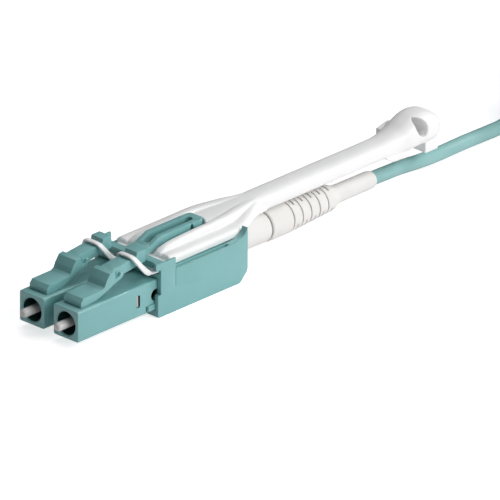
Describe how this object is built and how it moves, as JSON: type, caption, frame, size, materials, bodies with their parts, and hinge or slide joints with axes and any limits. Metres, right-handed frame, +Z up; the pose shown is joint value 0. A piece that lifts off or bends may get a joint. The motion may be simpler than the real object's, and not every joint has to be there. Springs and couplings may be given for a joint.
{
  "type": "fiber optic patch cord",
  "caption": "Duplex fiber optic patch cord with paired square plugs, latch arms, a white push-pull tab and a slotted bend boot at each end of a slim aqua cable.",
  "frame": {"origin": "under the middle of the near connector, on the underside of its clip housing (cord and far connector left out)", "axes": "+Y along the connector from the front of its plugs towards its boot, +Z up through the latches, +X across the two plugs"},
  "size_m": [0.0198, 0.2138, 0.0127],
  "materials": {
    "aqua_plastic": "moulded satin aqua plastic with fine texture",
    "white_plastic": "moulded satin white plastic",
    "boot_rubber": "white flexible elastomer, soft matt sheen",
    "white_ceramic": "ground and polished zirconia",
    "plated_metal": "nickel-plated turned metal",
    "fibre_buffer": "smooth buffered fibre",
    "aqua_jacket": "smooth extruded cable jacket, soft gloss",
    "tie_strap": "woven hook-and-loop strap"
  },
  "bodies": {
    "root": {"near_plug_body_a": "aqua_plastic", "near_ferrule_spring_a": "plated_metal", "near_spring_stop_a": "plated_metal", "near_fibre_a": "fibre_buffer", "near_plug_body_b": "aqua_plastic", "near_ferrule_spring_b": "plated_metal", "near_spring_stop_b": "plated_metal", "near_fibre_b": "fibre_buffer", "near_clip_housing": "aqua_plastic", "near_crimp_body": "plated_metal", "near_crimp_ring": "plated_metal", "near_boot_collar": "boot_rubber", "near_bend_boot": "boot_rubber", "far_plug_body_a": "aqua_plastic", "far_ferrule_spring_a": "plated_metal", "far_spring_stop_a": "plated_metal", "far_fibre_a": "fibre_buffer", "far_plug_body_b": "aqua_plastic", "far_ferrule_spring_b": "plated_metal", "far_spring_stop_b": "plated_metal", "far_fibre_b": "fibre_buffer", "far_clip_housing": "aqua_plastic", "far_crimp_body": "plated_metal", "far_crimp_ring": "plated_metal", "far_boot_collar": "boot_rubber", "far_bend_boot": "boot_rubber", "cord_run": "aqua_jacket", "cord_hank": "aqua_jacket", "cord_tail": "aqua_jacket", "hank_tie": "tie_strap"},
    "near_latch_a": {"near_latch_a": "aqua_plastic"},
    "near_ferrule_a": {"near_ferrule_a": "white_ceramic", "near_ferrule_holder_a": "plated_metal"},
    "near_latch_b": {"near_latch_b": "aqua_plastic"},
    "near_ferrule_b": {"near_ferrule_b": "white_ceramic", "near_ferrule_holder_b": "plated_metal"},
    "near_pull_tab": {"near_pull_tab": "white_plastic"},
    "near_lock_tongue": {"near_lock_tongue": "aqua_plastic"},
    "far_latch_a": {"far_latch_a": "aqua_plastic"},
    "far_ferrule_a": {"far_ferrule_a": "white_ceramic", "far_ferrule_holder_a": "plated_metal"},
    "far_latch_b": {"far_latch_b": "aqua_plastic"},
    "far_ferrule_b": {"far_ferrule_b": "white_ceramic", "far_ferrule_holder_b": "plated_metal"},
    "far_pull_tab": {"far_pull_tab": "white_plastic"},
    "far_lock_tongue": {"far_lock_tongue": "aqua_plastic"}
  },
  "joints": [
    {"name": "near_tab_pull", "type": "slide", "parent": "root", "child": "near_pull_tab", "axis": [0, 1, 0], "range_m": [0, 0.0012], "stiffness_N_per_m": 2500},
    {"name": "near_latch_a_press", "type": "hinge", "parent": "root", "child": "near_latch_a", "pos_m": [-0.00313, -0.0333, 0.00536], "axis": [-1, 0, 0], "range_deg": [0, 4]},
    {"name": "near_ferrule_a_float", "type": "slide", "parent": "root", "child": "near_ferrule_a", "axis": [0, 1, 0], "range_m": [0, 0.0008], "stiffness_N_per_m": 1000, "springref_m": -0.004, "deforming": ["near_ferrule_spring_a"]},
    {"name": "near_latch_b_press", "type": "hinge", "parent": "root", "child": "near_latch_b", "pos_m": [0.00313, -0.0333, 0.00536], "axis": [-1, 0, 0], "range_deg": [0, 4]},
    {"name": "near_ferrule_b_float", "type": "slide", "parent": "root", "child": "near_ferrule_b", "axis": [0, 1, 0], "range_m": [0, 0.0008], "stiffness_N_per_m": 1000, "springref_m": -0.004, "deforming": ["near_ferrule_spring_b"]},
    {"name": "near_lock_tongue_flex", "type": "hinge", "parent": "root", "child": "near_lock_tongue", "pos_m": [0, -0.02, 0.0072], "axis": [-1, 0, 0], "range_deg": [0, 3], "stiffness_Nm_per_rad": 0.05},
    {"name": "far_tab_pull", "type": "slide", "parent": "root", "child": "far_pull_tab", "axis": [0, -1, 0], "range_m": [0, 0.0012], "stiffness_N_per_m": 2500},
    {"name": "far_latch_a_press", "type": "hinge", "parent": "root", "child": "far_latch_a", "pos_m": [0.00112, 0.1717, 0.00536], "axis": [1, 0, 0], "range_deg": [0, 4]},
    {"name": "far_ferrule_a_float", "type": "slide", "parent": "root", "child": "far_ferrule_a", "axis": [0, -1, 0], "range_m": [0, 0.0008], "stiffness_N_per_m": 1000, "springref_m": -0.004, "deforming": ["far_ferrule_spring_a"]},
    {"name": "far_latch_b_press", "type": "hinge", "parent": "root", "child": "far_latch_b", "pos_m": [-0.00513, 0.1717, 0.00536], "axis": [1, 0, 0], "range_deg": [0, 4]},
    {"name": "far_ferrule_b_float", "type": "slide", "parent": "root", "child": "far_ferrule_b", "axis": [0, -1, 0], "range_m": [0, 0.0008], "stiffness_N_per_m": 1000, "springref_m": -0.004, "deforming": ["far_ferrule_spring_b"]},
    {"name": "far_lock_tongue_flex", "type": "hinge", "parent": "root", "child": "far_lock_tongue", "pos_m": [-0.002, 0.1584, 0.0072], "axis": [1, 0, 0], "range_deg": [0, 3], "stiffness_Nm_per_rad": 0.05}
  ],
  "couplings": [
    {"joint": "near_latch_a_press", "follows": "near_tab_pull", "rad_per_m": 56},
    {"joint": "near_latch_b_press", "follows": "near_tab_pull", "rad_per_m": 56},
    {"joint": "far_latch_a_press", "follows": "far_tab_pull", "rad_per_m": 56},
    {"joint": "far_latch_b_press", "follows": "far_tab_pull", "rad_per_m": 56}
  ]
}
